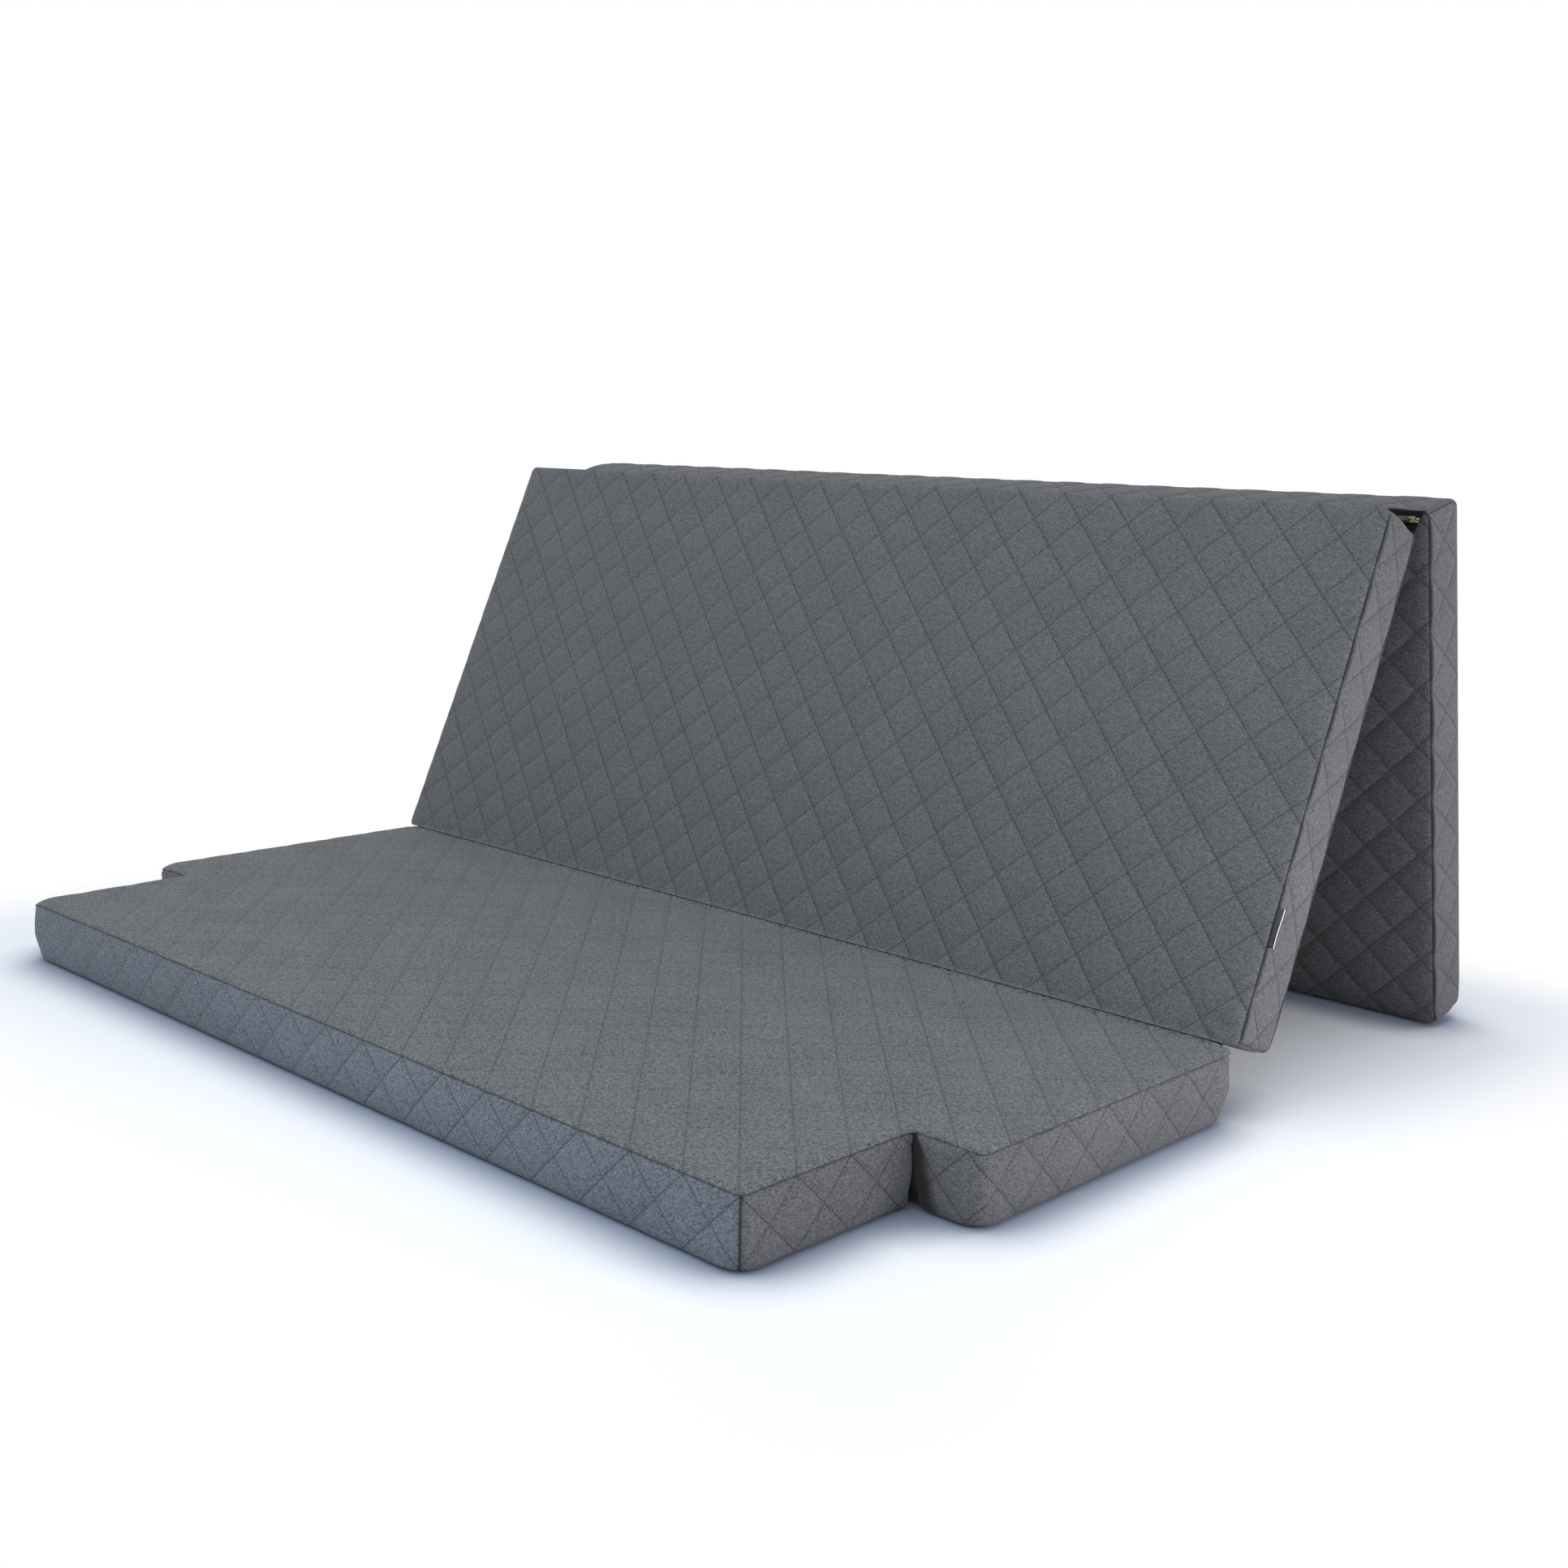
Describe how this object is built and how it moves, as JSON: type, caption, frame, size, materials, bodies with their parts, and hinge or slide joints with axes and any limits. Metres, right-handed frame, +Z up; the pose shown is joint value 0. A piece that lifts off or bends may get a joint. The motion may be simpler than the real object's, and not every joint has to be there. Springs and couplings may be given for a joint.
{
  "type": "folding mattress",
  "caption": "Folding quilted foam mattress for a bench or van bed, standing as a seat with a propped backrest; its front corners are cut away.",
  "frame": {"origin": "centre of the seat panel's flat underside, on the floor", "axes": "+X across the mattress, +Y from the seat's front edge to the back, +Z up"},
  "size_m": [1.508, 1.2127, 0.6549],
  "materials": {
    "sleep_cloth": "matte",
    "band_cloth": "matte",
    "under_cloth": "matte",
    "foam": "matte",
    "fold_cloth": "matte",
    "zip_tape": "matte",
    "zip_coil": "satin",
    "zip_metal": "satin",
    "label_cloth": "satin"
  },
  "bodies": {
    "seat": {"seat_foam_core": "foam", "seat_sleep_cover": "sleep_cloth", "seat_under_cover": "under_cloth", "seat_front_band": "band_cloth", "seat_right_band": "band_cloth", "seat_rear_band": "band_cloth", "seat_left_band": "band_cloth", "seat_fold_strip": "fold_cloth"},
    "back": {"back_foam_core": "foam", "back_sleep_cover": "sleep_cloth", "back_under_cover": "under_cloth", "back_lower_band": "band_cloth", "back_right_band": "band_cloth", "back_upper_band": "band_cloth", "back_left_band": "band_cloth", "side_label": "label_cloth", "zip_tape_back": "zip_tape", "zip_tape_rear": "zip_tape", "zip_coil_back": "zip_coil", "zip_coil_rear": "zip_coil", "zip_left_stop": "zip_metal", "zip_right_stop_back": "zip_metal", "zip_right_stop_rear": "zip_metal"},
    "rear": {"rear_foam_core": "foam", "rear_sleep_cover": "sleep_cloth", "rear_under_cover": "under_cloth", "rear_upper_band": "band_cloth", "rear_right_band": "band_cloth", "rear_lower_band": "band_cloth", "rear_left_band": "band_cloth", "rear_hem": "zip_tape"},
    "slider": {"zip_slider": "zip_metal"},
    "pull": {"zip_pull": "zip_metal"}
  },
  "joints": [
    {"name": "seat_fold", "type": "hinge", "parent": "seat", "child": "back", "pos_m": [0, 0.328, 0.084], "axis": [1, 0, 0], "range_deg": [-66.1, 113.9], "deforming": ["seat_fold_strip"]},
    {"name": "top_fold", "type": "hinge", "parent": "back", "child": "rear", "pos_m": [0, 0.66916, 0.64159], "axis": [1, 0, 0], "range_deg": [-36, 143.98]},
    {"name": "zip_travel", "type": "slide", "parent": "back", "child": "slider", "axis": [1, 0, 0], "range_m": [-1.475, 0]},
    {"name": "pull_swing", "type": "hinge", "parent": "slider", "child": "pull", "pos_m": [0.73785, 0.65552, 0.63332], "axis": [0, 0.6337, 0.7736], "range_deg": [0, 180]}
  ]
}
